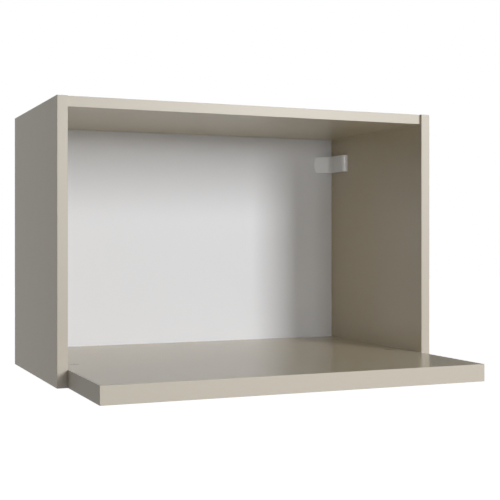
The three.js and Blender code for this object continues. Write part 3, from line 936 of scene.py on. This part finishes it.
setScrews("back", {node: (0, 1, 0) for node in frame["nodes"] if node.startswith("back_screw_")})
setScrews("fixing", {"hanger_" + hand + "_fixing_screw": (-sign, 0, 0) for hand, sign in hands.items()})
setScrews("height", {"hanger_" + hand + "_height_screw": (0, 0, -1) for hand in hands})
setScrews("depth", {"hanger_" + hand + "_depth_screw": (0, -1, 0) for hand in hands})
print("screws made")


# Bolts and dowels are drawn standing up, with the side's inner face at z = 0, so that the upper end goes
# into the side
dowel = {"radius": 4, "inBoard": 19, "inSide": 11, "chamfer": 1, "flutes": 18, "fluteDepth": 0.25}
bolt = {
    "thread": 2.4,
    "core": 1.9,
    "pitch": 1.6,
    "threadStart": 0.9,
    "threadEnd": 1.2,  # from the tip
    "inSide": 11,
    "tip": (0.3, 1.5),  # radius and length
    "collar": 3.2,
    "collarThickness": 2,
    "shank": 2.6,
    "shankEdge": 0.3,
}
ball = {"radius": 3.3, "place": 24, "neck": 1.8, "neckEnd": 16, "rings": 10, "pole": 0.12}


def dowelPiece():
    radius, chamfer = dowel["radius"], dowel["chamfer"]
    rings = [
        [radius - chamfer, -dowel["inBoard"]],
        [radius, chamfer - dowel["inBoard"]],
        [radius, dowel["inSide"] - chamfer],
        [radius - chamfer, dowel["inSide"]],
    ]
    pin = turnedPiece(rings, sides=2 * dowel["flutes"])
    step = math.pi / dowel["flutes"]
    shrink = 1 - dowel["fluteDepth"] / radius
    startEdit(pin)
    pick("VERT", lambda place: round(math.atan2(place.y, place.x) / step) % 2 == 1)
    bpy.ops.transform.resize(value=(shrink, shrink, 1), center_override=(0, 0, 0))
    endEdit()
    return pin


# The ball is at the bolt's foot, from near its pole up to the neck, and the thread is at the top
def boltPiece():
    pole = math.pi - ball["pole"]
    first = math.asin(ball["neck"] / ball["radius"])
    rings = []
    for step in range(ball["rings"] + 1):
        angle = pole - step * (pole - first) / ball["rings"]
        rings.append([ball["radius"] * math.sin(angle), -ball["place"] + ball["radius"] * math.cos(angle)])
    tipRadius, tipLength = bolt["tip"]
    rings += [
        [ball["neck"], -ball["neckEnd"]],
        [bolt["shank"] - bolt["shankEdge"], -ball["neckEnd"]],
        [bolt["shank"], bolt["shankEdge"] - ball["neckEnd"]],
        [bolt["shank"], -bolt["collarThickness"]],
        [bolt["collar"], -bolt["collarThickness"]],
        [bolt["collar"], 0],
        [bolt["core"], 0],
        [bolt["core"], bolt["inSide"] - tipLength],
        [tipRadius, bolt["inSide"]],
    ]
    thread = {"radius": bolt["thread"], "core": bolt["core"], "pitch": bolt["pitch"]}
    thread["low"] = bolt["threadStart"]
    thread["high"] = bolt["inSide"] - bolt["threadEnd"]
    return addThread(turnedPiece(rings, sides=40), thread)


for kind, model, material, slot in (
    ("dowel_", dowelPiece(), beechWood, "beech"),
    ("connecting_bolt_", boltPiece(), steel, "plated_steel"),
):
    for node in frame["nodes"]:
        if node.startswith(kind):
            place = middleOf(node)
            sign = math.copysign(1, place.x)
            place.x = sign * sideLow[0]
            turn = (0, sign * math.radians(90), 0)
            standIn(duplicatePiece(model, place, turn), node, material)
    bpy.data.objects.remove(model)
print("bolts and dowels made")


# The castings and the pressed arms keep their CAD shape, with their edges eased by these radii
castings = {
    "housing": (0.3, zinc, "zinc_die_casting"),
    "carriage": (0.25, zinc, "zinc_die_casting"),
    "hook_arm": (0.2, steel, "plated_steel"),
}
for hand in hands:
    for name, (radius, material, slot) in castings.items():
        node = "hanger_" + hand + "_" + name
        standIn(easedCopy(node, radius), node, material)
print("hanger castings made")


bpy.context.scene.view_settings.view_transform = "Standard"


# A small studio: a tall key to the front right, a weaker lamp in front, one behind the left side, and one
# high behind the cabinet for its top and back
studio = {
    "fill": 0.09,
    "lamps": {
        "key": {"place": (1.23, -2.62, 1), "size": (0.7, 1.15), "power": 53},
        "front": {"place": (0.21, -2.99, 0.41), "size": (0.9, 0.6), "power": 16},
        "rear": {"place": (-2.6, 1.6, 0.6), "size": (2, 2), "power": 9},
        "back": {"place": (0.5, 2.9, 1.7), "size": (1.5, 1.5), "power": 38},
    },
    "aim": (0, 0, 0.2),
    "flagged": ("key", "front"),
    # Dim screens behind the cabinet, which only the soft mirror images in its boards show
    "screens": {
        "left": {"place": (-0.92, 1.98, 0.2), "size": (1.6, 1.8), "level": 0.46},
        "right": {"place": (1.41, 1.45, 0.25), "size": (1.4, 1.2), "level": 0.15},
    },
}
floor = {
    "drop": 1200,  # millimetres from the cabinet's underside to the floor, as it hangs on a wall
    "size": 60,
    "colour": "#f0f0f0",
    "roughness": 0.9,
    "lift": 0.9,  # what the camera sees on top of the light that falls on it
}


def aimAt(piece, target):
    piece.rotation_euler = (Vector(target) - piece.location).to_track_quat("-Z", "Y").to_euler()


def addPlane(name, size, place, material):
    bpy.ops.object.select_all(action="DESELECT")
    bpy.ops.mesh.primitive_plane_add(size=1, location=place)
    plane = bpy.context.object
    plane.name = name
    plane.scale = (size[0], size[1], 1)
    plane.data.materials.append(material)
    return plane


# White to the eye and in mirror images, and a faint fill for everything else
def addWorld():
    world = bpy.data.worlds.new("studio")
    bpy.context.scene.world = world
    world.use_nodes = True
    tree = world.node_tree
    tree.nodes.clear()
    rays = addNode(tree, "LightPath").outputs
    seen = rays["Is Camera Ray"]
    for kind in ("Is Glossy Ray", "Is Transmission Ray"):
        seen = addNode(tree, "Math", {0: seen, 1: rays[kind]}, operation="MAXIMUM").outputs[0]
    level = addNode(tree, "Mix", {0: seen, 2: studio["fill"], 3: 1.0}).outputs[0]
    background = addNode(tree, "Background", {"Color": white, "Strength": level})
    addNode(tree, "OutputWorld", {"Surface": background.outputs[0]})


def addFloor():
    material, tree, shader = newMaterial("paleFloor")
    shader.inputs["Base Color"].default_value = linear(floor["colour"])
    shader.inputs["Roughness"].default_value = floor["roughness"]
    onCamera = addNode(tree, "LightPath").outputs["Is Camera Ray"]
    lift = addNode(tree, "Math", {0: onCamera, 1: floor["lift"]}, operation="MULTIPLY").outputs[0]
    shader.inputs["Emission Color"].default_value = white
    tree.links.new(lift, shader.inputs["Emission Strength"])
    addPlane("floor", (floor["size"], floor["size"]), (0, 0, -floor["drop"] * mm), material)


def addScreens():
    for name, screen in studio["screens"].items():
        material, tree, shader = newMaterial(name + "Screen")
        shader.inputs["Base Color"].default_value = black
        shader.inputs["Specular IOR Level"].default_value = 0
        shader.inputs["Emission Color"].default_value = white
        shader.inputs["Emission Strength"].default_value = screen["level"]
        plane = addPlane(name + "_screen", screen["size"], screen["place"], material)
        aimAt(plane, studio["aim"])
        plane.visible_camera = False
        plane.visible_diffuse = False
        plane.visible_shadow = False
        plane.visible_transmission = False


def addLamps():
    # As with a flag in a studio: the lamps in front would only glare on the top's upper face
    flags = bpy.data.collections.new("flags")
    flags.objects.link(frame["nodes"]["top_panel"])
    flags.collection_objects[0].light_linking.link_state = "EXCLUDE"
    for name, lamp in studio["lamps"].items():
        data = bpy.data.lights.new(name, "AREA")
        data.shape = "RECTANGLE"
        data.size, data.size_y = lamp["size"]
        data.energy = lamp["power"]
        light = bpy.data.objects.new(name, data)
        light.location = lamp["place"]
        aimAt(light, studio["aim"])
        bpy.context.scene.collection.objects.link(light)
        if name in studio["flagged"]:
            light.light_linking.receiver_collection = flags


addWorld()
addFloor()
addScreens()
addLamps()
print("studio lit")
